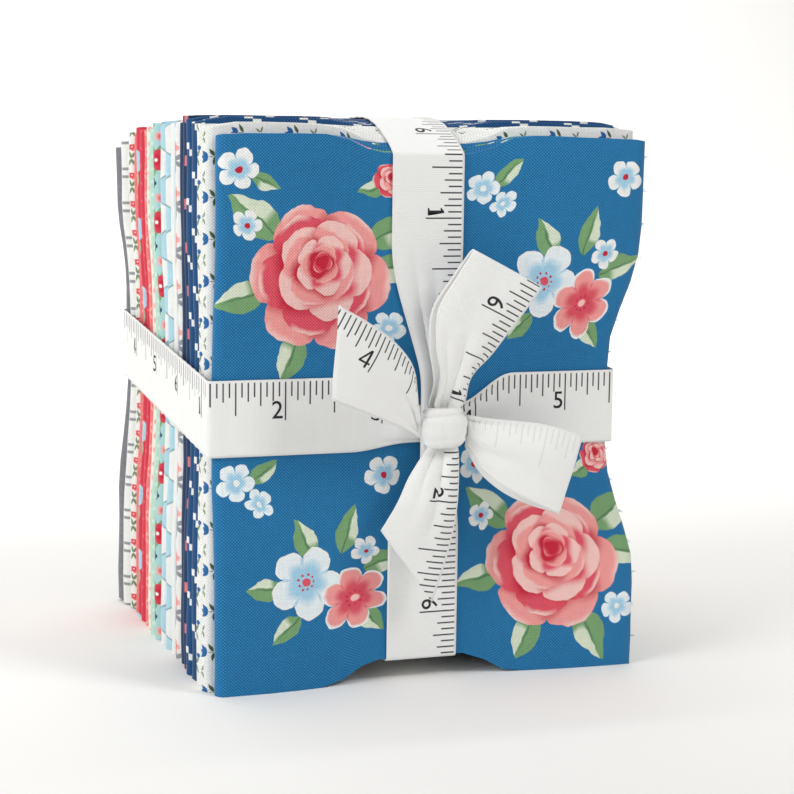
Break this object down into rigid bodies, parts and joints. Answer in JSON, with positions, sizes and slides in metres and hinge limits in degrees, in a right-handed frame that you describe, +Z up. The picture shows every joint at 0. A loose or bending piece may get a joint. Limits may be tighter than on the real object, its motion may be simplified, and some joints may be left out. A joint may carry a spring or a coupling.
{
  "type": "fat quarter bundle",
  "caption": "Bundle of folded quilting-cotton fat quarters standing on edge, tied crosswise with a white measuring ribbon and a bow in front.",
  "frame": {"origin": "middle of the base of the whole bundle, on the surface it stands on", "axes": "+X along the folded width towards the pinched right edges, +Y from the bow in front to the back of the stack, +Z up"},
  "size_m": [0.1172, 0.1226, 0.1449],
  "materials": {
    "rose_blue": "matte quilting cotton, roses and blossoms on mid blue",
    "tulip_white": "matte quilting cotton, small blue tulips on white",
    "sprig_white": "matte quilting cotton, green sprigs on white",
    "dash_blue": "matte quilting cotton, staggered white dashes on blue",
    "fleck_navy": "matte quilting cotton, coral flecks on navy",
    "posy_white": "matte quilting cotton, grey and coral posies on white",
    "pale_blue": "matte quilting cotton, faint tone on tone pale blue",
    "comb_aqua": "matte quilting cotton, hexagon outlines on aqua and white",
    "floral_aqua": "matte quilting cotton, small flowers on aqua",
    "mint": "matte quilting cotton, plain mint",
    "blush": "matte quilting cotton, cream and pink",
    "coral": "matte quilting cotton, coral",
    "red": "matte quilting cotton, red",
    "floral_red": "matte quilting cotton, aqua and green flowers on red",
    "sprig_pink": "matte quilting cotton, pink and green sprigs on white",
    "dash_grey": "matte quilting cotton, paired grey dashes on white",
    "grey": "matte quilting cotton, dark grey",
    "ribbon": "fine ribbed woven ribbon with black measuring ticks"
  },
  "bodies": {
    "root": {"quarter_01": "rose_blue", "quarter_02": "tulip_white", "quarter_03": "sprig_white", "quarter_04": "dash_blue", "quarter_05": "dash_blue", "quarter_06": "fleck_navy", "quarter_07": "fleck_navy", "quarter_08": "posy_white", "quarter_09": "pale_blue", "quarter_10": "comb_aqua", "quarter_11": "comb_aqua", "quarter_12": "floral_aqua", "quarter_13": "mint", "quarter_14": "blush", "quarter_15": "coral", "quarter_16": "red", "quarter_17": "floral_red", "quarter_18": "coral", "quarter_19": "sprig_pink", "quarter_20": "dash_grey", "quarter_21": "grey", "ribbon_across": "ribbon", "ribbon_upright": "ribbon", "ribbon_knot": "ribbon", "bow_loop_upper": "ribbon", "bow_loop_side": "ribbon", "bow_tail_upper": "ribbon", "bow_tail_lower": "ribbon"}
  },
  "joints": []
}
